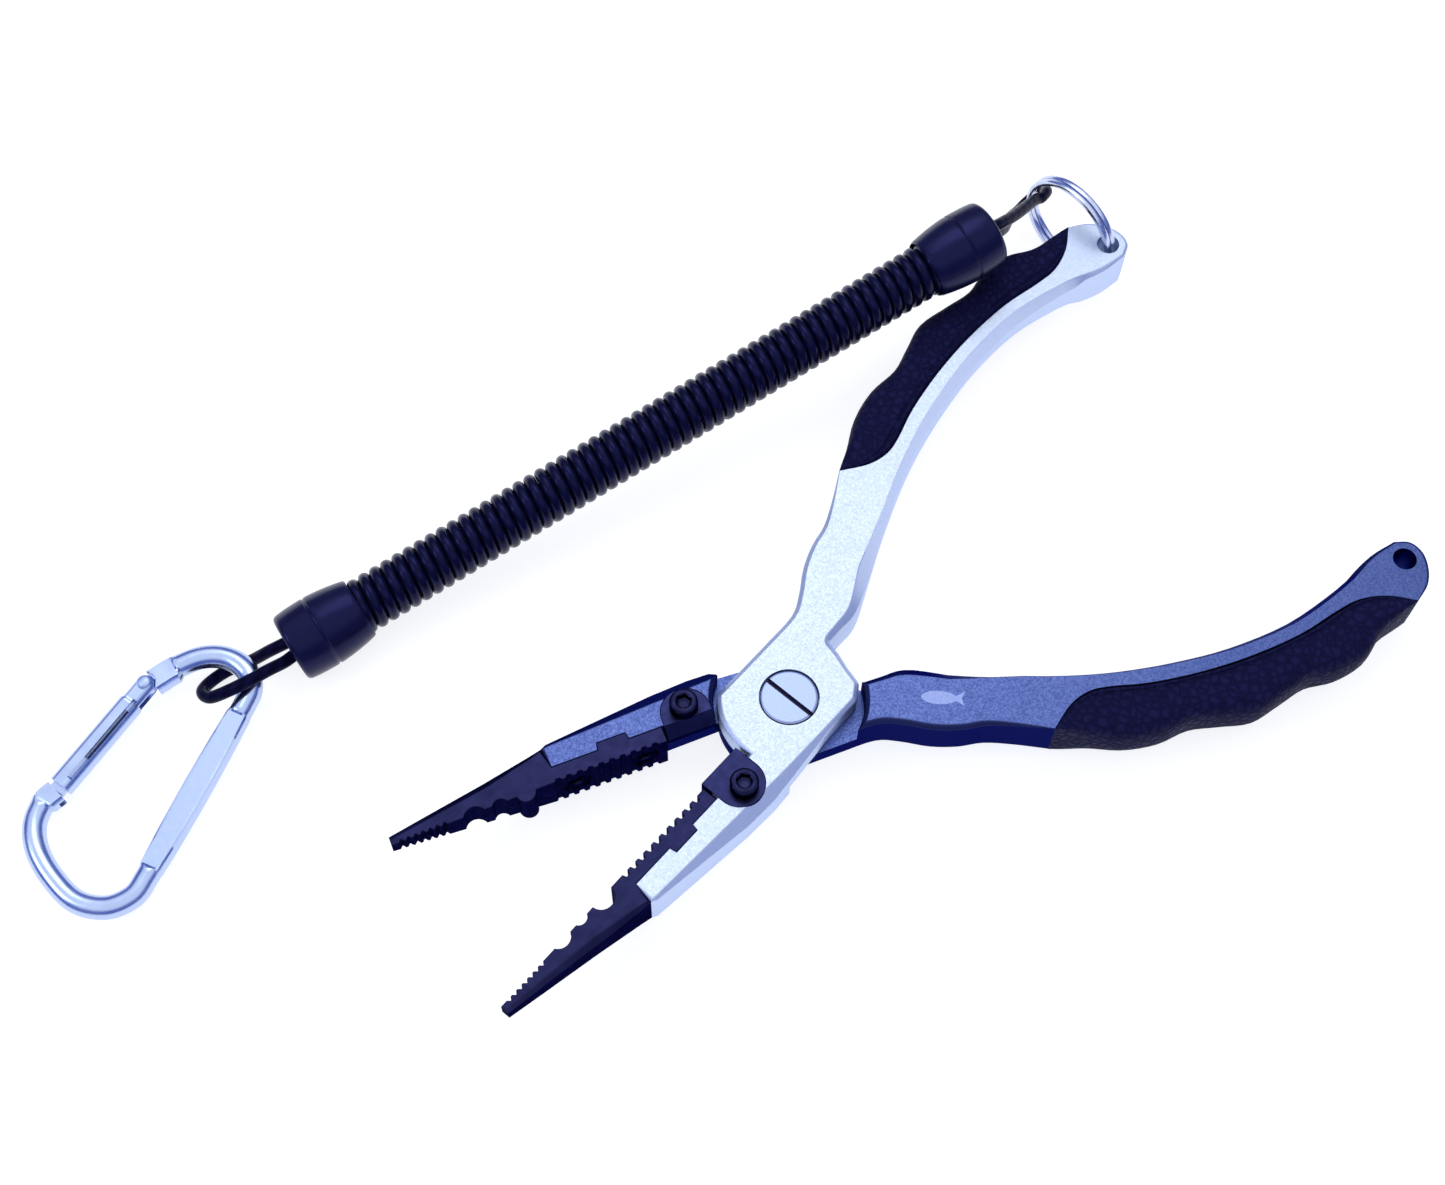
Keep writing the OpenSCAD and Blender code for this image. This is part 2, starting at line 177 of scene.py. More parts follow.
def carve(piece, *tools):
    """Cuts each tool's shape out of the piece and removes the tools."""
    for tool in tools:
        cut = piece.modifiers.new("cut", "BOOLEAN")
        cut.object = tool
        cut.solver = "MANIFOLD"
    bpy.context.view_layer.update()
    graph = bpy.context.evaluated_depsgraph_get()
    piece.data = bpy.data.meshes.new_from_object(piece.evaluated_get(graph))
    piece.modifiers.clear()
    for tool in tools:
        bpy.data.objects.remove(tool)


def soften(piece, width, angle=30):
    """Rounds every edge sharper than the angle, by a width in metres."""
    edge = piece.modifiers.new("worn_edges", "BEVEL")
    edge.width = width
    edge.segments = 2
    edge.limit_method = "ANGLE"
    edge.angle_limit = math.radians(angle)
    edge.miter_outer = "MITER_ARC"
    edge.harden_normals = True


def settle(piece, place, material, body, nodes, edge=0.0, sharp=35):
    """Moves a finished mesh to its place, in metres, and gives it its finish and body."""
    piece.data.transform(Matrix.Scale(MM, 4) @ place)
    if place.determinant() < 0:
        piece.data.flip_normals()
    piece.data.materials.clear()
    for m in material if isinstance(material, (list, tuple)) else [material]:
        piece.data.materials.append(m)
    piece.data.shade_smooth()
    piece.data.set_sharp_from_angle(angle=math.radians(sharp))
    if edge:
        soften(piece, edge * MM)
    piece.modifiers.new("even_shading", "WEIGHTED_NORMAL").keep_sharp = True
    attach(piece, body)
    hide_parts(*nodes)
    print(f"{piece.name}: {len(piece.data.polygons)} faces on {body}")


# %% [markdown]
# Outlines. A handle's edge is a free curve, so it is a smooth run through a
# few points; a machined corner is a fillet of a known radius. An inset moves
# each point in along the mitre of its two edges, which is how a chamfer or a
# rounded rim is drawn from the outline.

# %% Curves, fillets and insets
def distances(path):
    """How far each point lies along the path."""
    return np.r_[0, np.cumsum(np.linalg.norm(np.diff(path, axis=0), axis=1))]


def curve(points, steps=4):
    """A smooth run through the points (Catmull-Rom), with that many steps per span."""
    p = np.asarray(points, float)
    p = np.vstack([2 * p[0] - p[1], p, 2 * p[-1] - p[-2]])
    t = np.arange(steps)[:, None] / steps
    spans = [0.5 * (2 * b + (c - a) * t + (2 * a - 5 * b + 4 * c - d) * t ** 2
                    + (3 * b - a - 3 * c + d) * t ** 3)
             for a, b, c, d in zip(p, p[1:], p[2:], p[3:])]
    return np.vstack(spans + [p[-2:-1]])


def fillet(corners, steps=6):
    """A polyline with each corner (u, v, radius) rounded; the first and last stay."""
    made = [np.array(corners[0][:2], float)]
    for (a, b, c) in zip(corners, corners[1:], corners[2:]):
        corner, radius = np.array(b[:2], float), b[2]
        before, after = np.array(a[:2]) - corner, np.array(c[:2]) - corner
        reach = min(np.linalg.norm(before), np.linalg.norm(after))
        before, after = before / np.linalg.norm(before), after / np.linalg.norm(after)
        half = math.acos(max(-1, min(1, before @ after))) / 2
        back = min(radius / math.tan(half), 0.48 * reach) if radius else 0
        if back < 1e-3:
            made.append(corner)
            continue
        start, end = corner + before * back, corner + after * back
        for k in range(steps + 1):
            s = k / steps
            made.append((1 - s) ** 2 * start + 2 * s * (1 - s) * corner + s ** 2 * end)
    made.append(np.array(corners[-1][:2], float))
    return np.array(made)


def arc(centre, radius, start, end, steps):
    """Points on a circle from one angle to another, in degrees."""
    angle = np.radians(np.linspace(start, end, steps + 1))
    return np.array(centre) + radius * np.column_stack([np.cos(angle), np.sin(angle)])


def closed_outline(*stretches):
    """Joins (points, widths) stretches; the widths are spread along each stretch."""
    points, widths = [], []
    for p, w in stretches:
        run = distances(p)
        spread = np.interp(run / run[-1], np.linspace(0, 1, len(w)), w)
        for q, width in zip(p, spread):
            if not points or np.linalg.norm(q - points[-1]) > 0.02:
                points.append(q)
                widths.append(width)
    if np.linalg.norm(points[0] - points[-1]) < 0.02:
        points.pop()
        widths.pop()
    return np.array(points), np.array(widths)


def inset(outline, width):
    """The outline moved inward by a width for each of its points."""
    before = outline - np.roll(outline, 1, 0)
    after = np.roll(outline, -1, 0) - outline
    normals = []
    for e in (before, after):
        e = e / np.linalg.norm(e, axis=1)[:, None]
        normals.append(np.column_stack([-e[:, 1], e[:, 0]]))
    mitre = normals[0] + normals[1]
    mitre /= np.maximum(1.0, (mitre * normals[0]).sum(1))[:, None]
    x, y = outline[:, 0], outline[:, 1]
    area = (x * np.roll(y, -1) - y * np.roll(x, -1)).sum()
    return outline + mitre * np.sign(area) * np.reshape(width, (-1, 1))


def at_height(outline, z):
    """A flat ring as points in space; z is one height or one for each point."""
    return np.column_stack([outline, np.broadcast_to(z, len(outline))])


def plate(outline, width, low, high, slope=0.85):
    """A flat solid whose chamfers, width wide, meet its faces in rounded edges."""
    soft = np.minimum(0.35, 0.8 * width)
    along = soft * 0.6 / np.hypot(1, slope)
    drop = slope * width
    corner_rings = [(width + 0.5 * soft, 0), (width, 0.1 * soft),
                    (width - along, slope * along), (along, drop - slope * along),
                    (0.12 * soft, drop), (0, drop + 0.6 * soft)]
    top = [at_height(inset(outline, w), high - z) for w, z in corner_rings]
    bottom = [at_height(inset(outline, w), low + z) for w, z in corner_rings]
    return loft(bottom + top[::-1])


def turned(profile, around=48, wrap=False):
    """A solid of revolution about Z; with wrap, the (radius, height) profile closes."""
    angle = np.arange(around) * 2 * math.pi / around
    return loft([np.column_stack([r * np.cos(angle), r * np.sin(angle),
                                  np.full(around, z)]) for r, z in profile], wrap)


def drum(centre, radius, low, high, around=96):
    """An upright cylinder tool."""
    points, faces = turned([(radius, low), (radius, high)], around)
    return raw_object("tool", (points + [*centre, 0], faces))


def block(x, y, z, along_y=False, name="tool"):
    """A straight-sided block between two limits on each axis."""
    if along_y:
        ends = [[(x[0], v, z[0]), (x[1], v, z[0]), (x[1], v, z[1]), (x[0], v, z[1])]
                for v in y]
    else:
        ends = [[(u, y[0], z[0]), (u, y[1], z[0]), (u, y[1], z[1]), (u, y[0], z[1])]
                for u in x]
    return raw_object(name, loft(ends))


# %% [markdown]
# Finishes start from the real thing. A helper turns sRGB hex codes to linear
# light, and one function adds any node with its settings and links.

# %% Colours and nodes
def linear(code):
    """An sRGB hex colour as linear RGBA."""
    parts = [int(code[i:i + 2], 16) / 255 for i in (1, 3, 5)]
    return tuple(c / 12.92 if c <= 0.04045 else ((c + 0.055) / 1.055) ** 2.4
                 for c in parts) + (1.0,)


def add_node(tree, kind, inputs=None, **settings):
    """A node; inputs maps a socket to a value or to the socket that feeds it."""
    node = tree.nodes.new(kind)
    for key, value in settings.items():
        setattr(node, key, value)
    for key, value in (inputs or {}).items():
        if isinstance(value, bpy.types.NodeSocket):
            tree.links.new(value, node.inputs[key])
        else:
            node.inputs[key].default_value = value
    return node


def finish_of(name, **sockets):
    """A new material, its node tree and its shader with those sockets set."""
    material = bpy.data.materials.new(name)
    material.use_nodes = True
    tree = material.node_tree
    shader = tree.nodes["Principled BSDF"]
    for key, value in sockets.items():
        shader.inputs[key.replace("_", " ")].default_value = value
    return material, tree, shader


def between(tree, factor, low, high):
    """A colour that runs from low to high with the factor."""
    return add_node(tree, "ShaderNodeMix", {0: factor, 6: linear(low), 7: linear(high)},
                    data_type="RGBA").outputs[2]


def steps_of(tree, value, low, high, to_low=0.0, to_high=1.0):
    """A value remapped from one range to another."""
    return add_node(tree, "ShaderNodeMapRange",
                    {0: value, 1: low, 2: high, 3: to_low, 4: to_high}).outputs[0]


def object_place(tree):
    """The place of the shaded point in its object, in metres."""
    return add_node(tree, "ShaderNodeTexCoord").outputs["Object"]


def noise(tree, place, grain_mm, detail, output=0):
    """Noise with that size of grain."""
    return add_node(tree, "ShaderNodeTexNoise", {
        "Vector": place, "Scale": 1 / (grain_mm * MM), "Detail": detail}).outputs[output]


def maths(tree, operation, *values, **settings):
    """The result of a maths operation on the values."""
    return add_node(tree, "ShaderNodeMath", dict(enumerate(values)), operation=operation,
                    **settings).outputs[0]


def feed(tree, shader, colour, roughness):
    """Links a colour and a roughness to the shader."""
    tree.links.new(colour, shader.inputs["Base Color"])
    tree.links.new(roughness, shader.inputs["Roughness"])


def raise_bumps(tree, shader, height, depth_mm, strength=1.0):
    """Feeds a height pattern to the shader's normal."""
    bump = add_node(tree, "ShaderNodeBump", {"Height": height, "Strength": strength,
                                             "Distance": depth_mm * MM})
    tree.links.new(bump.outputs[0], shader.inputs["Normal"])


# %% [markdown]
# Bead-blasted, anodised aluminium. Glass beads of about 0.1 mm leave tiny
# dimples, which read as a soft metal with a fine sparkle. So the film's
# colour and the roughness vary with one fine noise, drawn at 0.35 mm to show
# at all, and a slower noise gives the faint clouds of handling.

# %% Blasted aluminium
BLAST_GRAIN_MM = 0.35
HANDLING_MM = 18


def blasted_aluminium(name, painted_wall_light, edge_on, dark, light, roughness, sparkle):
    material, tree, shader = finish_of(name, Metallic=1.0, Specular_Tint=linear(edge_on))
    place = object_place(tree)
    grain = noise(tree, place, BLAST_GRAIN_MM, 2.0)
    clouds = noise(tree, place, HANDLING_MM, 3.0)
    mixed = maths(tree, "ADD", steps_of(tree, grain, 0.3, 0.7),
                   steps_of(tree, clouds, 0.3, 0.7, -0.12, 0.12), use_clamp=True)
    # Walls and chamfers, found by their normal, take a colour of their own: painted shade on the
    # gunmetal, a painted bluish reflection on the silver.
    flatness = add_node(tree, "ShaderNodeSeparateXYZ", {
        0: add_node(tree, "ShaderNodeNewGeometry").outputs["Normal"]}).outputs[2]
    unshaded_flat_faces = steps_of(tree, maths(tree, "ABSOLUTE", flatness), 0.75, 0.98)
    film_and_wall_shade = add_node(tree, "ShaderNodeMix", {
        0: unshaded_flat_faces, 6: linear(painted_wall_light), 7: between(tree, mixed, dark, light)},
        data_type="RGBA").outputs[2]
    feed(tree, shader, film_and_wall_shade,
         steps_of(tree, grain, 0.3, 0.7, roughness + 0.06, roughness - 0.06))
    raise_bumps(tree, shader, grain, 0.03, sparkle)
    return material


# The first colour of each half is its painted wall shade and reflection.
silver_finish = blasted_aluminium("aluminium_blasted_clear", "#ccd8f0", "#dfe8ff", "#c6d1e2",
                                  "#cfd9e8", 0.5, 0.2)
gunmetal_finish = blasted_aluminium("aluminium_blasted_gunmetal", "#2b305a", "#7480b8",
                                    "#44528a", "#5c6ba2", 0.42, 0.5)
print("blast grain drawn at", BLAST_GRAIN_MM, "mm")

# %% [markdown]
# Black oxide on tool steel. The bath turns the steel blue-black and leaves
# its ground surface as it was, so the finish is a dark metal with faint
# grinding lines and lighter rubbed spots.

# %% Black oxide steel
GRIND_MM = 0.25


def black_oxide(name, dark, light, roughness, along=(1, 8, 8)):
    material, tree, shader = finish_of(name, Metallic=1.0, Specular_Tint=linear("#4a4d86"))
    place = object_place(tree)
    stretched = add_node(tree, "ShaderNodeMapping", {"Vector": place, "Scale": along})
    lines = noise(tree, stretched.outputs[0], 8 * GRIND_MM, 3.0)
    spots = noise(tree, place, 2.5, 4.0)
    feed(tree, shader, between(tree, steps_of(tree, spots, 0.4, 0.75), dark, light),
         steps_of(tree, lines, 0.3, 0.7, roughness + 0.08, roughness - 0.06))
    raise_bumps(tree, shader, lines, 0.01, 0.3)
    return material


insert_finish = black_oxide("tool_steel_black_oxide", "#232446", "#292a50", 0.4)
blade_finish = black_oxide("cutter_steel_ground_black", "#232446", "#2d2f5a", 0.34)
screw_finish = black_oxide("screw_steel_black_oxide", "#1b1c38", "#262748", 0.3, (1, 1, 1))
print("grinding lines drawn at", GRIND_MM, "mm")

# %% [markdown]
# Turned stainless steel for the pivot screw and nut, bright nickel on the
# split ring, and a drawn wire for the springs. A lathe leaves fine rings
# round the axis, which the finish takes from the distance to the pivot.

# %% Bright steels
def turned_steel(name, recess_shade, colour, roughness):
    material, tree, shader = finish_of(name, Metallic=1.0)
    place = object_place(tree)
    # Below 9.3 mm, down the slot and inside the counterbore, the steel is painted darker as shade.
    depth = add_node(tree, "ShaderNodeSeparateXYZ", {0: place}).outputs[2]
    out_of_recess = steps_of(tree, depth, 9.3 * MM, 9.9 * MM)
    rings = add_node(tree, "ShaderNodeTexWave", {
        "Vector": place, "Scale": 1 / (1.1 * MM), "Distortion": 1.5, "Detail": 2.0},
        wave_type="RINGS", rings_direction="Z").outputs[1]
    feed(tree, shader, between(tree, out_of_recess, recess_shade, colour),
         steps_of(tree, rings, 0, 1, roughness - 0.04, roughness + 0.05))
    raise_bumps(tree, shader, rings, 0.004, 0.12)
    return material


def plain_metal(name, dark, light, roughness, grain_mm=0.6):
    material, tree, shader = finish_of(name, Metallic=1.0)
    place = object_place(tree)
    marks = noise(tree, place, grain_mm, 4.0)
    feed(tree, shader, between(tree, steps_of(tree, marks, 0.3, 0.7), dark, light),
         steps_of(tree, marks, 0.35, 0.7, roughness, roughness + 0.1))
    raise_bumps(tree, shader, marks, 0.01, 0.15)
    return material


pivot_finish = turned_steel("stainless_turned", "#4b4660", "#8c99c0", 0.3)
nut_finish = plain_metal("stainless_nut", "#8d97b4", "#a9b3ce", 0.28)
ring_finish = plain_metal("spring_steel_nickel", "#bcc5e0", "#d3dbf0", 0.16)
wire_finish = plain_metal("spring_wire_drawn", "#7d8598", "#a0a8ba", 0.35)
washer_finish = plain_metal("bronze_washer", "#9a7a42", "#bf9c5c", 0.4)
polished_finish = plain_metal("aluminium_polished_anodised", "#b3c3e8", "#bccbec", 0.2, 4)
pressed_finish = plain_metal("aluminium_pressed_satin", "#b0c0e4", "#bccbea", 0.42, 1.2)
print("bright metals made")

# %% [markdown]
# The grips are moulded rubber with a leather texture from the mould: rounded
# pebbles of about 1.7 mm, split by fine creases. The distance to the edge of
# a Voronoi cell gives both, and a little noise bends the creases.

# %% Leather-grain rubber
PEBBLE_MM = 1.7


def grained_rubber(name, dark, light, depth_mm):
    material, tree, shader = finish_of(name, IOR=1.5, Specular_IOR_Level=0.03,
                                       Specular_Tint=linear("#8a90ff"))
    place = object_place(tree)
    wander = noise(tree, place, 1.2, 2.0, 1)
    moved = add_node(tree, "ShaderNodeVectorMath", {0: wander, 1: (0.5, 0.5, 0.5)},
                     operation="SUBTRACT").outputs[0]
    shifted = add_node(tree, "ShaderNodeVectorMath",
                       {0: moved, 1: (0.9 * MM,) * 3, 2: place},
                       operation="MULTIPLY_ADD").outputs[0]
    crease = add_node(tree, "ShaderNodeTexVoronoi", {
        "Vector": shifted, "Scale": 1 / (PEBBLE_MM * MM)},
        feature="DISTANCE_TO_EDGE").outputs[0]
    pebble = steps_of(tree, crease, 0.0, 0.3)
    fine = noise(tree, place, 0.5, 2.0)
    height = maths(tree, "MULTIPLY_ADD", fine, 0.25, pebble)
    # The creases are painted darker than the pebble tops, as shade.
    feed(tree, shader, between(tree, pebble, dark, light),
         steps_of(tree, pebble, 0, 1, 0.6, 0.45))
    raise_bumps(tree, shader, height, depth_mm, 0.6)
    return material


grip_finish = grained_rubber("rubber_leather_grain", "#131330", "#1d1d42", 0.2)
print("rubber pebbles of", PEBBLE_MM, "mm")

# %% [markdown]
# The cord is extruded polyurethane over a twisted core, whose lay telegraphs
# through as faint diagonal strands. Its meshes carry a map of millimetres
# along and turns around, so the strands wind at their real lay. The caps are
# gloss ABS, moulded, with the slight ripple of a cooled thick wall.

# %% Cord and cap plastics
STRAND_LAY_MM = 3.2
STRANDS = 2


def strand_plastic(name, colour, strand_highlight, gloss):
    material, tree, shader = finish_of(name, IOR=1.5, Specular_IOR_Level=gloss,
                                       Specular_Tint=linear("#8a90ff"))
    around_along = add_node(tree, "ShaderNodeUVMap", uv_map="cord_map").outputs[0]
    parts = add_node(tree, "ShaderNodeSeparateXYZ", {0: around_along})
    lay = maths(tree, "MULTIPLY", parts.outputs[0], 2 * math.pi / STRAND_LAY_MM)
    turn_by = maths(tree, "MULTIPLY_ADD", parts.outputs[1], 2 * math.pi * STRANDS, lay)
    share = steps_of(tree, maths(tree, "SINE", turn_by), -1, 1)
    # Each strand's crest is painted lighter, as a highlight.
    feed(tree, shader, between(tree, share, colour, strand_highlight),
         steps_of(tree, share, 0, 1, 0.3, 0.16))
    raise_bumps(tree, shader, share, 0.05, 0.4)
    return material


def moulded_plastic(name, dark, light, roughness):
    material, tree, shader = finish_of(name, IOR=1.53, Specular_IOR_Level=0.35,
                                       Specular_Tint=linear("#8a90ff"))
    place = object_place(tree)
    ripple = noise(tree, place, 3, 3.0)
    feed(tree, shader, between(tree, ripple, dark, light),
         steps_of(tree, ripple, 0.3, 0.7, roughness - 0.03, roughness + 0.05))
    raise_bumps(tree, shader, ripple, 0.02, 0.25)
    return material


cord_finish = strand_plastic("polyurethane_cord_gloss", "#06061a", "#0d0d2a", 0.3)
loop_finish = strand_plastic("polyurethane_cord_rubbed", "#0a0a20", "#111130", 0.04)
cap_finish = moulded_plastic("abs_gloss_cap", "#0d0d26", "#111130", 0.24)
print("cord strands every", STRAND_LAY_MM, "mm")

# %% [markdown]
# A cord is circles carried along a path without twist, with domed ends and a
# map of its strands.

# %% Sweeping along a path
def carried_frames(path):
    """Side and up at each point of a path, turning as little as possible."""
    tangent = np.gradient(path, axis=0)
    tangent /= np.linalg.norm(tangent, axis=1)[:, None]
    side = np.cross(tangent[0], [0.0, 0.0, 1.0] if abs(tangent[0][2]) < 0.9 else [1, 0, 0])
    sides = []
    for t in tangent:
        side = side - (side @ t) * t
        side /= np.linalg.norm(side)
        sides.append(side)
    sides = np.array(sides)
    return sides, np.cross(tangent, sides)


def round_ends(path, radius, steps=3):
    """Extra stations and radii that close a tube with domed ends."""
    share = np.sin(np.linspace(0.12, math.pi / 2, steps + 1))[:-1]
    first = path[0] - (path[1] - path[0]) / np.linalg.norm(path[1] - path[0]) \
        * (radius * np.sqrt(1 - share ** 2))[:, None]
    last = path[-1] + (path[-1] - path[-2]) / np.linalg.norm(path[-1] - path[-2]) \
        * (radius * np.sqrt(1 - share ** 2))[::-1, None]
    radii = np.r_[radius * share, np.full(len(path), radius), radius * share[::-1]]
    return np.vstack([first, path, last]), radii


def make_cord(name, path, place, around, nodes, finish):
    """A cord with its strand map, swept along its centreline with domed ends."""
    stations, radii = round_ends(path, CORD_D / 2 * 1.012)
    side, up = carried_frames(stations)
    angle = np.arange(around) * 2 * math.pi / around
    rings = [c + r * (np.outer(np.cos(angle), s) + np.outer(np.sin(angle), u))
             for c, r, s, u in zip(stations, radii, side, up)]
    points, faces = loft(rings)
    mesh = bpy.data.meshes.new(name)
    mesh.from_pydata(points.tolist(), [], faces)
    run = distances(stations)
    layer = mesh.uv_layers.new(name="cord_map")
    for face in mesh.polygons:
        for loop in face.loop_indices:
            ring, k = divmod(mesh.loops[loop].vertex_index, around)
            wrapped = k == 0 and any(mesh.loops[i].vertex_index % around == around - 1
                                     for i in face.loop_indices)
            layer.data[loop].uv = (run[ring], 1.0 if wrapped else k / around)
    cord = in_scene(name, mesh)
    settle(cord, place, finish, "silver_half", nodes)


# %% [markdown]
# The coil is one long helix with its turns touching. The loops lie where the
# part's source lays them, so the same points are repeated here.

# %% The coil and its two loops
PITCH = 2.53
TURN_R = COIL_R - CORD_D / 2
TUCKED = 2
POINTS_PER_TURN = 20
turns = (COIL_LEN + 2 * TUCKED) / PITCH
phase = np.linspace(0, turns, round(turns * POINTS_PER_TURN) + 1)
helix = np.column_stack([TURN_R * np.cos(2 * math.pi * phase),
                         TURN_R * np.sin(2 * math.pi * phase),
                         COIL_LEN + TUCKED - PITCH * phase])
make_cord("coiled_cord", helix, LANYARD, 14, ["lanyard_coil"], cord_finish)

ring_loop = [(88.3, 57.7, 20.5), (93, 57.6, 20.8), (102, 60.2, 15.2), (111.1, 63.9, 9),
             (113.9, 64.4, 7.5), (116.6, 65.7, 6), (117.3, 66.9, 4.5), (116.4, 68.1, 2.7),
             (113.4, 68.1, 1.5), (110.6, 67.2, 2.1), (105.8, 65, 5.5), (99, 60, 12.9),
             (93, 57.6, 18.2), (88.1, 58, 18)]
clip_loop = [(-67.2, 68.4, 2.6), (-71.4, 68.8, 2.1), (-75, 70.2, 0), (-79, 72.4, -3.9),
             (-83.7, 73.3, -4.1), (-87.7, 72.8, -3.6), (-90, 71.1, -2.1),
             (-89.5, 68.2, 0), (-86.2, 66, 2.8), (-81.4, 64.6, 4.7),
             (-77.5, 64.7, 4.1), (-74, 65.2, 2.5), (-71.4, 65.7, 2), (-67.2, 65.8, 2.4)]
for name, points in (("ring_loop", ring_loop), ("clip_loop", clip_loop)):
    make_cord(f"{name}_cord", curve(points, 6), HERE, 16, [name], loop_finish)

# %% [markdown]
# End caps. Each is a barrel moulded in two parts that screw together, so
# there is a fine seam at its waist. The cup grips the coil with a rolled
# lip, and the lid's end has a dished face with a hole for the two strands.

# %% End caps
SEAM = 0.12


def cap_cup_profile():
    outer = curve([(6.35, 0.5), (6.75, 2.4), (7.15, 5), (7.4, 7.6), (7.42, CUP_LEN - 0.35)], 4)
    return [(COIL_R + 0.12, CUP_LEN), (COIL_R + 0.12, 0.5), (COIL_R + 0.3, 0.1),
            (6.05, 0), *outer.tolist(), (7.25, CUP_LEN - SEAM), (7.22, CUP_LEN)]


def cap_lid_profile():
    outer = curve([(7.45, 0.35), (7.42, 2), (7.3, 4.4), (7.1, LID_LEN - 0.9)], 4)
    return [(7.22, 0), (7.25, SEAM), *outer.tolist(), (6.9, LID_LEN - 0.4), (6.45, LID_LEN - 0.08),
            (6.0, LID_LEN), (5.2, LID_LEN - 0.12), (4.2, LID_LEN - 0.4),
            (3.5, LID_LEN - 0.55), (3.1, LID_LEN - 0.9), (3.05, LID_LEN - 2.4),
            (5.6, LID_LEN - 2.6), (5.6, 0)]


for end, place in (("ring", RING_END), ("clip", CLIP_END)):
    settle(raw_object(f"{end}_cap_cup_shell", turned(cap_cup_profile(), 64, wrap=True)), place,
           cap_finish, "silver_half", [f"{end}_cap_cup"])
    settle(raw_object(f"{end}_cap_lid_shell", turned(cap_lid_profile(), 64, wrap=True)),
           place @ Matrix.Translation((0, 0, CUP_LEN)),
           cap_finish, "silver_half", [f"{end}_cap_lid"])

# %% [markdown]
# The metal halves. One outline serves both: the jaw arm, the round lap plate
# and the handle. The chamfer is wide where the tool was relieved, along the
# arm's back and the handle's inner edge, and almost nothing where a grip or
# an insert sits against it, so each stretch of the outline has its widths.

# %% The outline that both halves share
inner_pts = [(18, 2.1), (23, 2.3), (31, 5.6), (41.5, 10.3), (52, 14.4), (61.5, 17.2),
             (72.5, 19.3), (84, 20.5), (97, 20.1), (109.5, 17.2), (118, 14), (124, 12.9)]
end_pts = [(124, 12.9), (127, 14.2), (128.2, 17.2), (127.4, 20.8), (125.4, 23.8),
           (121.8, 26.2)]
edge_pts = [(121.8, 26.2), (117, 23.2), (111.5, 21.8), (106, 22.4), (97, 24.2), (86, 24.8),
            (75, 24.2), (65, 22.6), (58, 20.6), (53.7, 20), (49.3, 21.2), (44.3, 24.6)]
neck_pts = [(44.3, 24.6), (38.2, 21.4), (33, 19.1), (28, 18), (23, 16), (18, 12.9),
            (13.6, 11), (6, 10.8)]
finger_pts = [(44.3, 24.6), (50, 27.4), (56.5, 30.8), (63.6, 32.3), (70.5, 31.9),
              (76.3, 33.4), (82.6, 35), (89.5, 33.7), (95.5, 32.4), (101.5, 33.2),
              (108, 32.2), (112.6, 29.2), (116.4, 27.8), (121.8, 26.2)]
CRISP, SOFT = 0.12, 0.9

half_outline, half_chamfer = closed_outline(
    (fillet([(-47.6, -7.5, 0), (-46.5, -8.1, 0.5), (-24, -10.9, 30), (-17, -11.2, 12),
             (-11, -10.8, 12), (0, -10, 8), (8.2, -10, 2), (11.3, -8, 1.6),
             (12.3, -4.2, 5), (13.5, -1, 4), (14.2, 2, 1), (18, 2.1, 0)]),
     (0.6, 1.4, 2.2, 2.7, 1.8, SOFT, SOFT, SOFT, 1.2)),
    (curve(inner_pts), (1.2, 2.4, 1.3, 1.4, 1.6, 1.7, 1.6, 1.2, 0.5)),
    (curve(end_pts), (0.5, 0.6, 0.5, CRISP)),
    (curve(edge_pts), (CRISP, CRISP)),
    (curve(neck_pts), (CRISP, 0.9, 0.9, 0.9)),
    (arc((0, 0), PLATE_R, 128.5, 188.3, 14), (SOFT, SOFT, SOFT, 0.5)),
    (fillet([(-13.65, -2, 0), (-24.4, -2, 0), (-24.4, -3.3, 0), (-31.4, -3.3, 0),
             (-31.65, -4.7, 0), (-37.4, -4.7, 0), (-37.7, -3.2, 0), (-46.9, -3.2, 0),
             (-47.6, -7.5, 0)]), (CRISP, CRISP)))
on_inner_edge = (half_outline[:, 0] > 20) & (half_chamfer > 1.05)
half_slope = 0.85 + 1.25 * on_inner_edge * np.clip((half_outline[:, 0] - 24) / 14, 0, 1)
print("half outline:", len(half_outline), "points")

# %% [markdown]
# A half is that plate with pockets milled into it: the lap round the pivot,
# the counterbore for the screw head, the blade's seat and the lanyard hole.
# Booleans suit this, because the real part is milled the same way.

# %% Milling the halves
def blade_outline(edge, grow=0.0):
    """The blade's seat: round at the back, cut off straight at the cutting edge."""
    u, v = BLADE_AT[0], BLADE_AT[1] + 1.1
    r = BLADE_R + grow
    sides = arc((u, v), r, 180, 360, 24)
    top = edge + (5 if grow else 0)
    if v < top:
        return np.vstack([sides, [[u + r, top], [u - r, top]]])
    return sides


SHOULDER_TIP = (-10.2, -10.2)  # where the lap's edge would leave a sharp point


def lap_cut(face, outside):
    """The lap's cutter: a drum from the lapped face outward, flared into a chamfer."""
    way = 1 if outside > face else -1
    return [(SHOULDER_R, face), (SHOULDER_R, outside - way * 1.0),
            (SHOULDER_R + 0.15, outside - way * 0.75), (SHOULDER_R + 0.8, outside - way * 0.1),
            (SHOULDER_R + 1.1, outside), (SHOULDER_R + 1.1, outside + way * 3)]


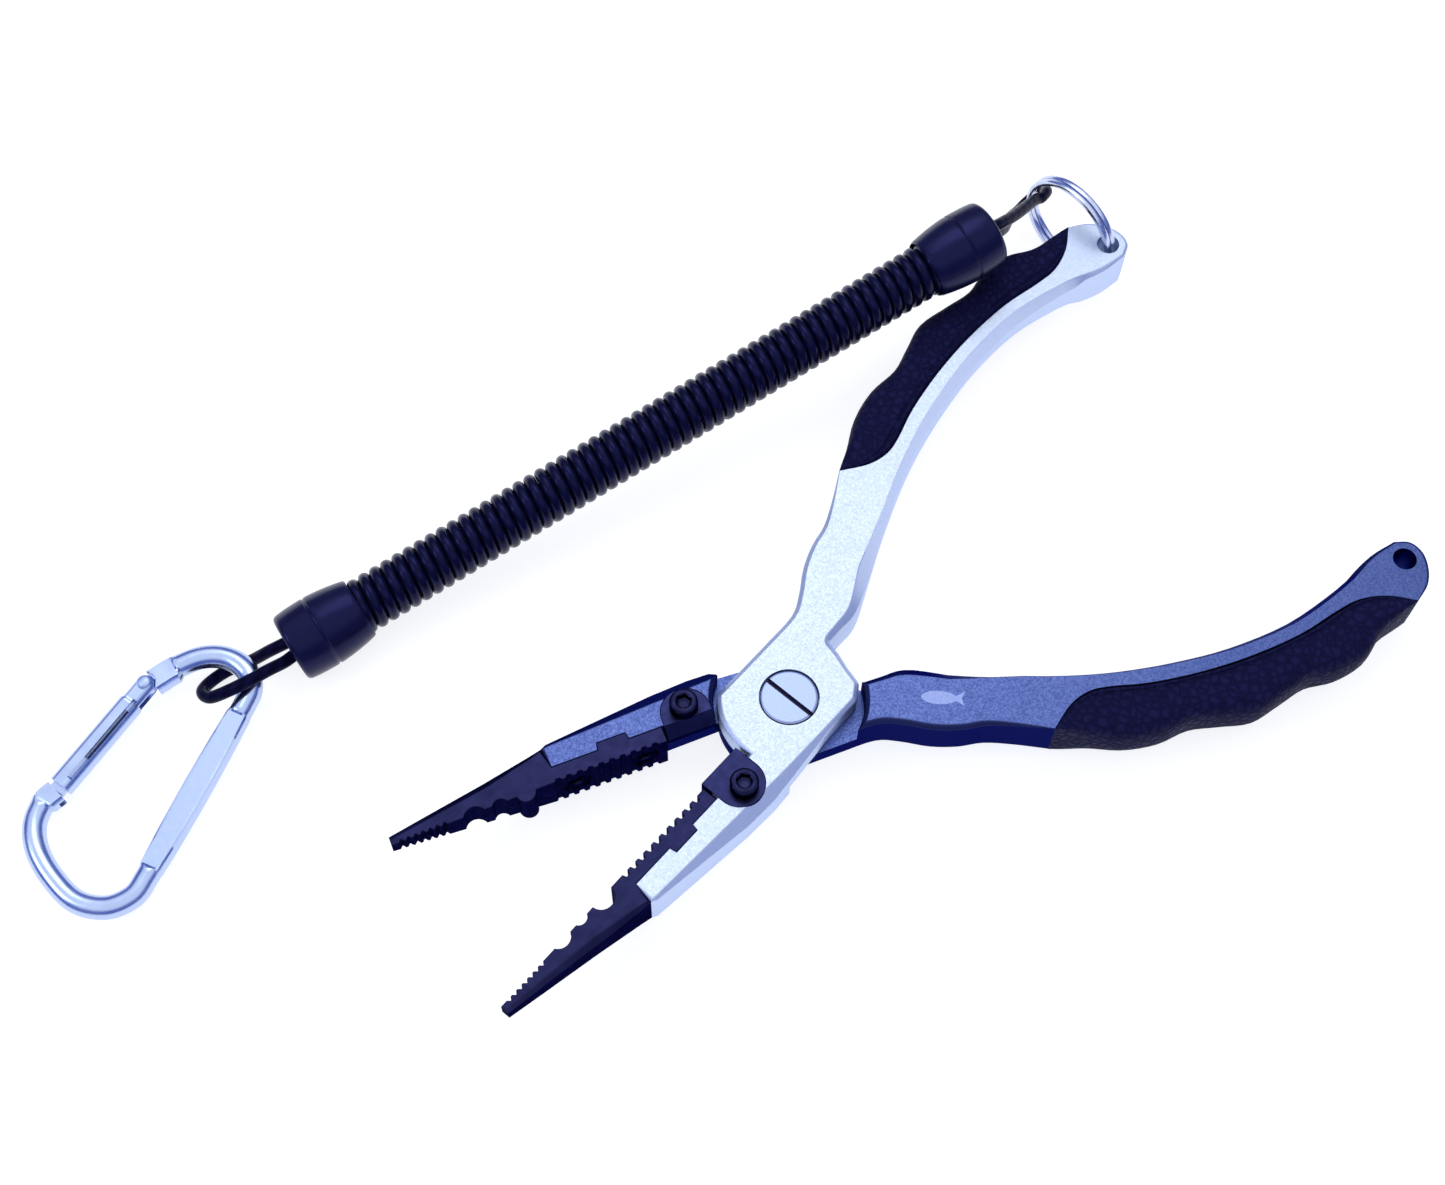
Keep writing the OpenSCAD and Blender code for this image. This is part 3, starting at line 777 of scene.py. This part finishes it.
def mill_half(half, place, finish, lap_tool, bore_low, edge):
    metal = raw_object(f"{half}_half_metal",
                       plate(half_outline, half_chamfer, 0, THICK, half_slope))
    seat = blade_outline(edge, 0.06)
    low, high = sorted((lap_tool[0][1], lap_tool[-1][1]))
    corner = block((-0.9, 4), (-4, 4), (low, high), along_y=True)
    corner.data.transform(Matrix.Translation((*SHOULDER_TIP, 0))
                          @ Matrix.Rotation(math.radians(-48), 4, "Z"))
    carve(metal, raw_object("tool", turned(lap_tool, 120)), corner,
          drum((0, 0), HEAD_R + 0.22, bore_low, bore_low + HEAD_H + 5),
          raw_object("tool", loft([at_height(seat, BLADE_Z), at_height(seat, THICK + 5)])),
          drum(HOLE_AT, HOLE_R, -5, THICK + 5, 48))
    settle(metal, place, finish, f"{half}_half", [f"{half}_handle"],
           sharp=42)


SILVER_EDGE, GUNMETAL_EDGE = 0.85, -0.9  # how far each blade reaches across the jaw
mill_half("silver", SILVER, silver_finish, lap_cut(THICK / 2 + LAP, 0), THICK - HEAD_H,
          SILVER_EDGE)
mill_half("gunmetal", GUNMETAL, gunmetal_finish, lap_cut(THICK / 2 - LAP, THICK), -5,
          GUNMETAL_EDGE)

# %% [markdown]
# The grips stand a little proud of the metal. Their finger side is rolled
# over with a large radius, and along the metal runs a raised rim with a fine
# groove behind it, as moulded grips have. Both come from one set of rings,
# whose insets and heights go from the rim's to the roll's round the outline.

# %% Leather-grain grips
rim_profile = [(0, 8.5), (0.05, 9.2), (0.36, 9.7), (0.42, 10.3), (0.65, 10.52), (1.05, 10.54),
               (1.3, 10.2), (1.6, 10.18), (1.9, 10.5), (2.5, 10.6)]
roll_profile = [(0, 5.6), (0.05, 7.0), (0.25, 8.3), (0.6, 9.2), (1.1, 9.85),
                (1.7, 10.22), (2.3, 10.43), (2.9, 10.53), (3.5, 10.58), (4.2, 10.6)]


def make_grip(half, place):
    outline, roll = closed_outline((curve(finger_pts)[::-1], (0, 1, 1, 1, 1, 1, 1, 0)),
                                   (curve(edge_pts)[::-1], (0, 0)))
    roll = np.clip(roll * 1.6, 0, 1)[:, None]
    fingers, edges = curve(finger_pts), curve(edge_pts)
    to_fingers = np.linalg.norm(outline[:, None] - fingers, axis=2).min(1)
    to_edges = np.linalg.norm(outline[:, None] - edges, axis=2).min(1)
    room = np.clip(np.maximum(to_fingers, to_edges) / 9.5, 0.04, 1)
    rings = []
    for (rim_in, rim_z), (roll_in, roll_z) in zip(rim_profile, roll_profile):
        pull = (rim_in * (1 - roll[:, 0]) + roll_in * roll[:, 0]) * room
        z = rim_z * (1 - roll[:, 0]) + roll_z * roll[:, 0]
        z = THICK + (z - THICK) * np.where(z < THICK, 1, room)
        rings.append(at_height(inset(outline, pull), z))
    below = [r * [1, 1, -1] + [0, 0, THICK] for r in rings[::-1]]
    grip = raw_object(f"{half}_grip_moulding", loft(below + rings))
    settle(grip, place, grip_finish, f"{half}_half", [f"{half}_grip"])


for half, place in HALVES:
    make_grip(half, place)

# %% [markdown]
# The jaw inserts. Their gripping face is worked out tooth by tooth from the
# heel to the tip: coarse teeth, a round bump or the hollow that it closes on,
# two split-shot hollows and fine teeth at the nose. The plate is drawn flat,
# split where the nose starts, and its nose is then thinned from both sides.

# %% Jaw inserts
FACE_V = -0.1
NOSE_START, NOSE_END = -47, -79.6
NOSE_TOP, NOSE_BOTTOM = 8.3, 5.0


def notch(centre, half_width, floor_half, depth):
    return [(centre + half_width, FACE_V), (centre + floor_half, FACE_V - depth),
            (centre - floor_half, FACE_V - depth), (centre - half_width, FACE_V)]


def scoop(centre, radius, sign):
    """A round hollow (sign -1) or bump (sign 1) where a circle meets the face."""
    lean = math.degrees(math.asin((FACE_V - centre[1]) / radius))
    if sign > 0:
        return arc(centre, radius, lean, 180 - lean, 14).tolist()
    return arc(centre, radius, 360 + lean, 180 - lean, 14).tolist()


def gripping_face(male):
    points = [(-24.8, FACE_V)]
    for i in range(10):
        points += notch(-27.25 - 2.15 * i, 0.68, 0.36, 0.5 if male else 0.85)
    points += scoop((-53, -0.3), 1.9, 1) if male else scoop((-52.8, 0), 2.45, -1)
    points += scoop((-58.3, 0.6), 1.6, -1) + scoop((-63.4, 0.9), 2.3, -1)
    for i in range(7):
        points += notch(-69.08 - 1.42 * i, 0.52, 0.05, 0.55)
    return np.array(points + [(NOSE_END, FACE_V)])


def thin_nose(piece):
    """Splits the flat plate at the nose's start, then tapers its height."""
    work = bmesh.new()
    work.from_mesh(piece.data)
    everything = work.verts[:] + work.edges[:] + work.faces[:]
    bmesh.ops.bisect_plane(work, geom=everything, dist=0.0001,
                           plane_co=(NOSE_START, 0, 0), plane_no=(1, 0, 0))
    for v in work.verts:
        share = max(0.0, (v.co.x - NOSE_START) / (NOSE_END - NOSE_START))
        top = THICK + share * (NOSE_TOP - THICK)
        v.co.z = share * NOSE_BOTTOM + v.co.z / THICK * (top - share * NOSE_BOTTOM)
    work.to_mesh(piece.data)
    work.free()


def across_jaw(u):
    """A place on the gripping face whose Z goes into the jaw."""
    return Matrix.Translation((u, 0, THICK / 2)) @ Matrix.Rotation(math.pi / 2, 4, "X")


def countersink(u):
    points, faces = turned([(2.85, -3), (2.85, 1.0), (1.5, 2.3), (1.5, 2.5)], 40)
    tool = raw_object("tool", (points, faces))
    tool.data.transform(across_jaw(u))
    return tool


def make_insert(half, place, male):
    outline, chamfer = closed_outline(
        (np.array([(NOSE_END, -1.9), (-72, -3.24), (-60, -5.33), (-50, -7.08), (-47.6, -7.5)]),
         (0.75, 1.0, 1.25, 1.4, 0.5)),
        (fillet([(-47.6, -7.5, 0), (-46.9, -3.15, 0), (-37.7, -3.15, 0), (-37.4, -4.65, 0),
                 (-31.65, -4.65, 0), (-31.4, -3.25, 0), (-24.8, -3.25, 0),
                 (-24.8, FACE_V, 0)]), (CRISP, CRISP)),
        (gripping_face(male), (CRISP, CRISP)),
        (np.array([(NOSE_END, FACE_V), (NOSE_END, -1.9)]), (CRISP, 0.3)))
    insert = raw_object(f"{half}_insert_steel", plate(outline, chamfer, 0, THICK, slope=1.0))
    thin_nose(insert)
    carve(insert, *[countersink(u) for u in SCREW_U])
    settle(insert, place, insert_finish, f"{half}_half", [f"{half}_jaw_insert"],
           edge=0.07)


for half, place in HALVES:
    make_insert(half, place, male=half == "gunmetal")

# %% [markdown]
# Socket screws. A head is circles for its knurled side and its chamfer, and
# the socket is hexagons with the same number of points, so the rings join
# without a boolean.

# %% Socket screws
AROUND = 72
ring_angle = np.arange(AROUND) * 2 * math.pi / AROUND


def circle_ring(radius, z, knurl=0.0):
    r = radius + knurl * (np.arange(AROUND) % 2)
    return np.column_stack([r * np.cos(ring_angle), r * np.sin(ring_angle),
                            np.full(AROUND, z)])


def hex_ring(across_flats, z):
    lean = np.mod(ring_angle, math.pi / 3) - math.pi / 6
    r = across_flats / 2 / np.cos(lean)
    return np.column_stack([r * np.cos(ring_angle), r * np.sin(ring_angle),
                            np.full(AROUND, z)])


def cap_screw():
    """M3: head 5.5 mm across and 3 mm high, socket 2.5 mm across flats."""
    head = [circle_ring(r, THICK + z, knurl) for r, z, knurl in (
        (1.5, 0, 0), (2.6, 0, 0), (2.7, 0.12, 0.05), (2.7, 2.35, 0.05), (2.68, 2.5, 0),
        (2.45, 2.82, 0), (2.25, 2.9, 0), (1.62, 2.9, 0))]
    socket = [hex_ring(flats, THICK + z)
              for flats, z in ((2.6, 2.72), (2.5, 2.5), (2.5, 1.4), (1.2, 1.1))]
    return loft([circle_ring(1.5, 1.2)] + head + socket)


def flat_screw():
    """M3 countersunk: head 5.6 mm across, flush with the face, socket 2 mm."""
    head = [circle_ring(r, z) for r, z in ((1.48, 7), (1.48, 2.4), (2.74, 1.05),
                                           (2.78, 0.75), (2.6, 0.6), (1.5, 0.58))]
    socket = [hex_ring(flats, z) for flats, z in ((2.15, 0.66), (2.0, 0.8), (2.0, 1.7),
                                                  (0.9, 1.9))]
    return loft(head + socket)


def moved(shell, place):
    points = np.array([place @ Vector(p) for p in shell[0]])
    return points, shell[1]


for half, place in HALVES:
    cap = moved(cap_screw(), Matrix.Translation((*BLADE_AT, 0)))
    settle(raw_object(f"{half}_cutter_cap_screw", cap), place, screw_finish,
           f"{half}_half", [f"{half}_cutter_screw"], edge=0.05)
    pair = join_shells(*[moved(flat_screw(), across_jaw(u)) for u in SCREW_U])
    settle(raw_object(f"{half}_insert_flat_screws", pair), place, screw_finish,
           f"{half}_half", [f"{half}_insert_screws"], edge=0.05)

# %% [markdown]
# Cutter blades. Silver's blade is a square-topped anvil and gunmetal's is
# ground down to its edge on both faces, so that one closes on the other.

# %% Cutter blades
def wedge(points):
    """A bar along u with that (v, z) section, as a tool."""
    section = np.array(points, float)
    ends = [np.column_stack([np.full(len(section), u), section]) for u in (-32, -8)]
    return raw_object("tool", loft(ends))


def make_blade(half, place, edge, cuts):
    outline = blade_outline(edge)
    blade = raw_object(f"{half}_cutter_blade",
                       plate(outline, np.full(len(outline), 0.1), BLADE_Z, THICK))
    carve(blade, *[wedge(c) for c in cuts])
    settle(blade, place, blade_finish, f"{half}_half", [f"{half}_cutter"],
           edge=0.08)


make_blade("silver", SILVER, SILVER_EDGE,
           [[(-1.2, 3), (-1.2, 4), (0.85, 6.4), (3, 6.4), (3, 3)]])
make_blade("gunmetal", GUNMETAL, GUNMETAL_EDGE,
           [[(-3.2, 12), (-3.2, 10), (-0.9, 7.8), (2, 7.8), (2, 12)],
            [(-2.6, 3), (-2.6, 4), (-0.9, 6.6), (2, 6.6), (2, 3)]])

# %% [markdown]
# The pivot screw: a turned head with a broken edge and a sawn slot. Its
# counterbore leaves a thin dark ring round it, and its finish paints the steel darker below the
# top, in the slot and round the head, as shade.

# %% Pivot screw and the hidden hardware
SLOT_TURN = math.radians(-76)
screw = raw_object("pivot_screw_turned", turned(
    [(2.5, 1), (2.5, THICK - HEAD_H), (HEAD_R, THICK - HEAD_H),
     (HEAD_R, THICK - 0.35), (HEAD_R - 0.1, THICK - 0.14), (HEAD_R - 0.28, THICK - 0.04),
     (HEAD_R - 0.6, THICK)], 96))
slot = raw_object("tool", loft([
    [(x, -0.45, THICK - 1.4), (x, 0.45, THICK - 1.4), (x, 0.5, 12), (x, -0.5, 12)]
    for x in (-9, 9)]))
slot.data.transform(Matrix.Rotation(SLOT_TURN, 4, "Z"))
carve(screw, slot)
settle(screw, HERE, pivot_finish, "silver_half", ["pivot_screw"], edge=0.08)


def dress_cad(node, finish, edge):
    """Gives a carried-over CAD node its finish and rounds its edges."""
    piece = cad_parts[node]
    piece.data.materials.clear()
    piece.data.materials.append(finish)
    weld = piece.modifiers.new("weld", "WELD")
    weld.merge_threshold = 0.002 * MM
    flatten = piece.modifiers.new("flatten", "DECIMATE")
    flatten.decimate_type = "DISSOLVE"
    flatten.angle_limit = math.radians(1)
    if edge:
        soften(piece, edge * MM)


for node, finish, edge in (("pivot_nut", nut_finish, 0.15),
                           ("friction_washer", washer_finish, 0),
                           ("return_spring", wire_finish, 0),
                           ("ring_ferrule", nut_finish, 0.1),
                           ("clip_ferrule", nut_finish, 0.1),
                           ("gate_spring", wire_finish, 0)):
    dress_cad(node, finish, edge)
print("hidden hardware dressed")

# %% [markdown]
# The split ring is a flat-sided wire wound twice. Where it goes over from
# the first turn to the second, the wire's two ends stop on either side.

# %% Split ring
RING_MEAN_R, WIRE = 11.15, 1.3
JOG = math.radians(20)
wire_angle = np.linspace(JOG, 4 * math.pi - JOG, 260)
level = np.clip((wire_angle - (2 * math.pi - JOG)) / (2 * JOG), 0, 1)
level = (level * level * (3 - 2 * level) - 0.5) * WIRE * 1.02
corner = np.radians(np.arange(0, 360, 22.5))
round_square = np.column_stack([np.cos(corner), np.sin(corner)])
round_square = round_square / (np.abs(round_square) ** 4).sum(1)[:, None] ** 0.25
wire_rings = []
for a, z in zip(wire_angle, level):
    out = RING_MEAN_R + round_square[:, 0] * WIRE / 2
    wire_rings.append(np.column_stack([out * math.cos(a + math.pi), out * math.sin(a + math.pi),
                                       z + round_square[:, 1] * WIRE / 2 * 0.97]))
settle(raw_object("split_ring_wire", loft(wire_rings)), RING, ring_finish, "ring",
       ["split_ring"], edge=0.0)

# %% [markdown]
# The carabiner is bent from one aluminium rod. Its spine is pressed flat on
# both faces, which spreads it, and both ends of the rod are pressed for the
# gate. Clamping the round section's height gives those flats with crisp
# edges, and the flats get a satin finish while the rod stays polished.

# %% Carabiner body
narrow_pts = [(34, 0), (37.6, 0), (40.8, 0.4), (43.5, 2.4), (44.7, 6), (44.2, 9.8),
              (42.2, 13.2), (38.6, 16.3), (35.8, 18), (34.4, 18.8)]
wide_pts = [(3, 0), (-0.5, 0), (-4.7, 0.5), (-8.6, 4), (-9.9, 9.8), (-7.8, 16.2),
            (-4.4, 21.6), (-0.2, 24.8), (4.4, 25.5), (7.4, 24.5)]
SPINE_FLAT = 1.72
END_FLAT = 1.95
ROD_STEP = 0.45


def evenly(path, step):
    """The same path with points a fixed step apart."""
    run = distances(path)
    along = np.linspace(0, run[-1], round(run[-1] / step) + 1)
    return np.column_stack([np.interp(along, run, path[:, i]) for i in range(path.shape[1])])


def ramp(x, low, high):
    t = np.clip((x - low) / (high - low), 0, 1)
    return t * t * (3 - 2 * t)


def pressed_rod(path, width, height, lean=0.0, around=40):
    """A rod along a flat path, clamped in height and shifted inward station by station."""
    angle = np.arange(around) * 2 * math.pi / around
    tangent = np.gradient(path, axis=0)
    tangent /= np.linalg.norm(tangent, axis=1)[:, None]
    rings = []
    for p, t, w, h, side in zip(path, tangent, width, height,
                                np.broadcast_to(lean, len(path))):
        across = w * np.cos(angle) + side
        up = np.clip(w * np.sin(angle), -h, h)
        rings.append(np.column_stack([p[0] - t[1] * across, p[1] + t[0] * across, up]))
    return loft(rings)


spine = np.array([(x, 0.0) for x in np.linspace(4, 33, 30)])
rod_path = evenly(np.vstack([curve(wide_pts, 8)[::-1], spine, curve(narrow_pts, 8)]), ROD_STEP)
on_spine = (ramp(rod_path[:, 0], 0.8, 1.6) * (1 - ramp(rod_path[:, 0], 35, 35.8))
            * (rod_path[:, 1] < 3))
middle = on_spine * (1 - ((rod_path[:, 0] - 18.4) / 17.6) ** 2).clip(0)
run = np.arange(len(rod_path)) * ROD_STEP
near_end = np.maximum(1 - ramp(run, 3.4, 3.9), ramp(run, run[-1] - 5.6, run[-1] - 5.2))
rod_width = ROD_R + 0.15 * on_spine + 0.4 * middle + 0.45 * near_end
rod_height = ROD_R - (ROD_R - SPINE_FLAT) * on_spine - (ROD_R - END_FLAT) * near_end
rod_height += 0.2 * (1 - on_spine) * (1 - near_end)
body_shell = pressed_rod(rod_path, rod_width, rod_height, 0.35 * near_end)
tongue = loft([at_height(np.vstack([arc(HINGE_AT, 1.9, 150, 330, 16),
                                    arc((35.8, 18), 1.6, -60, 60, 8)]), z)
               for z in (-0.8, 0.8)])
carabiner = raw_object("carabiner_rod", body_shell)
gate_way = Matrix.Translation((*NOSE_AT, 0)) @ Matrix.Rotation(math.radians(-10.7), 4, "Z")
nose_slot = block((-2.4, 6), (-5, 5), (-0.9, 0.9), along_y=True)
nose_slot.data.transform(gate_way)
carve(carabiner, nose_slot, drum(HINGE_AT, 2.3, -5, 5, 48))
settle(carabiner, CARABINER, [polished_finish, pressed_finish], "carabiner",
       ["carabiner_body"], edge=0.06)
for face in carabiner.data.polygons:
    up = CARABINER.to_3x3().transposed() @ face.normal
    spot = CARABINER.inverted() @ (face.center / MM)
    face.material_index = int(abs(up.z) > 0.985 and 0.5 < spot.x < 36 and spot.y < 3)
tongue_piece = raw_object("carabiner_tongue", tongue)
settle(tongue_piece, CARABINER, polished_finish, "carabiner", [],
       edge=0.1)

# %% [markdown]
# The gate is a folded tube: its seam shows as a long dark slot on its inner
# side, and its hinged end is pressed flat round the body's tongue.

# %% Gate and rivet
GATE_R, GATE_LEN = 2.2, 25.1
SEAM_TURN = -30
gate_path = evenly(np.array([(-1.9, 0.0), (GATE_LEN, 0.0)]), 0.3)
gate_end = 1 - ramp(gate_path[:, 0], 4.2, 4.8)
round_off = np.sqrt(1 - (np.clip(-gate_path[:, 0] + 0.2, 0, 2.1) / 2.25) ** 2)
gate_width = (GATE_R + 0.3 * (1 - gate_end)) * round_off
gate_shell = pressed_rod(gate_path, gate_width, GATE_R - 0.25 * gate_end)
gate = raw_object("gate_tube", gate_shell)
seam = block((3.8, 23.2), (-0.5, 0.5), (-1.2, 4))
seam.data.transform(Matrix.Rotation(math.radians(SEAM_TURN), 4, "X"))
fork = block((-5, 4.4), (-4, 4), (-0.85, 0.85), along_y=True)
carve(gate, seam, fork)
settle(gate, GATE, polished_finish, "gate", ["carabiner_gate"],
       edge=0.06)
settle(block((22.8, 26.4), (-1.5, 1.5), (-0.8, 0.8), name="gate_tooth"), GATE,
       polished_finish, "gate", [], edge=0.12)
rivet_profile = [(0.2, -2.68), (0.8, -2.6), (1.25, -2.4), (1.45, -2.1), (1.45, -1.97),
                 (0.8, -1.96), (0.8, 1.96), (1.45, 1.97), (1.45, 2.1), (1.25, 2.4),
                 (0.8, 2.6), (0.2, 2.68)]
settle(raw_object("gate_rivet", turned(rivet_profile, 40)), GATE, pressed_finish,
       "carabiner", ["gate_pin"])

# %% [markdown]
# A generic mark, a small fish, is laser-etched on the gunmetal handle: the
# beam strips the dark oxide, so it is pale and has almost no height.

# %% Etched mark
def fish_mark():
    """An oval body and a forked tail."""
    around = np.linspace(0.35, 2 * math.pi - 0.35, 30)
    body = [(3.4 * math.cos(a), 1.4 * math.sin(a)) for a in around]
    return np.array([(4.9, 1.5)] + body + [(4.9, -1.5), (4.3, 0)])


mark_at = Matrix.Translation((26.5, 10.6, 0)) @ Matrix.Rotation(math.radians(25), 4, "Z")
etched = raw_object("etched_fish_mark", loft([at_height(fish_mark(), z)
                                              for z in (THICK - 0.02, THICK + 0.02)]))
etched_finish = plain_metal("aluminium_laser_etched", "#8391c4", "#a9b5de", 0.5, 0.3)
settle(etched, GUNMETAL @ mark_at, etched_finish, "gunmetal_half", [])

# %% [markdown]
# The set: a pale floor, a bright overcast world that darkens to blue near
# the horizon so that polished metal has something to show, and two large
# soft lights.

# %% Floor, world and lights
floor_mesh = bpy.data.meshes.new("floor")
floor_mesh.from_pydata([(x * 3, y * 3, FLOOR_Z * MM) for x, y in
                        ((-1, -1), (1, -1), (1, 1), (-1, 1))], [], [(0, 1, 2, 3)])
floor = in_scene("floor", floor_mesh)
floor_finish, _, _ = finish_of("paper_matt_white", Base_Color=linear("#a8a8a8"),
                               Roughness=0.9, Specular_IOR_Level=0.1,
                               Emission_Color=linear("#ffffff"), Emission_Strength=0.8)
floor.data.materials.append(floor_finish)

world = bpy.data.worlds.new("overcast")
bpy.context.scene.world = world
world.use_nodes = True
sky = world.node_tree
direction = add_node(sky, "ShaderNodeTexCoord").outputs["Generated"]
height = add_node(sky, "ShaderNodeSeparateXYZ", {0: direction}).outputs[2]
bands = add_node(sky, "ShaderNodeValToRGB", {0: height})
bands.color_ramp.elements[0].position = 0.05
bands.color_ramp.elements[0].color = linear("#5563a6")
bands.color_ramp.elements[1].position = 0.72
bands.color_ramp.elements[1].color = linear("#f2f7ff")
low_band = bands.color_ramp.elements.new(0.5)
low_band.color = linear("#7383bf")
sky.links.new(bands.outputs[0], sky.nodes["Background"].inputs[0])
sky.nodes["Background"].inputs[1].default_value = 1.1


def soft_light(name, place, aim, size, watts, colour):
    light = bpy.data.lights.new(name, "AREA")
    light.size = size
    light.energy = watts
    light.color = linear(colour)[:3]
    lamp = in_scene(name, light)
    away = Vector(place) - Vector(aim)
    lamp.matrix_world = (Matrix.Translation(place)
                         @ away.to_track_quat("Z", "Y").to_matrix().to_4x4())


soft_light("key_softbox", (0.2, 0.35, 0.8), (0, 0.02, 0), 0.5, 1.5, "#f4f7ff")
soft_light("strip_softbox", (-0.6, 0.25, 0.45), (0, 0.02, 0), 0.25, 0.8, "#e6edff")
bpy.context.scene.view_settings.view_transform = "Standard"
print("set dressed")
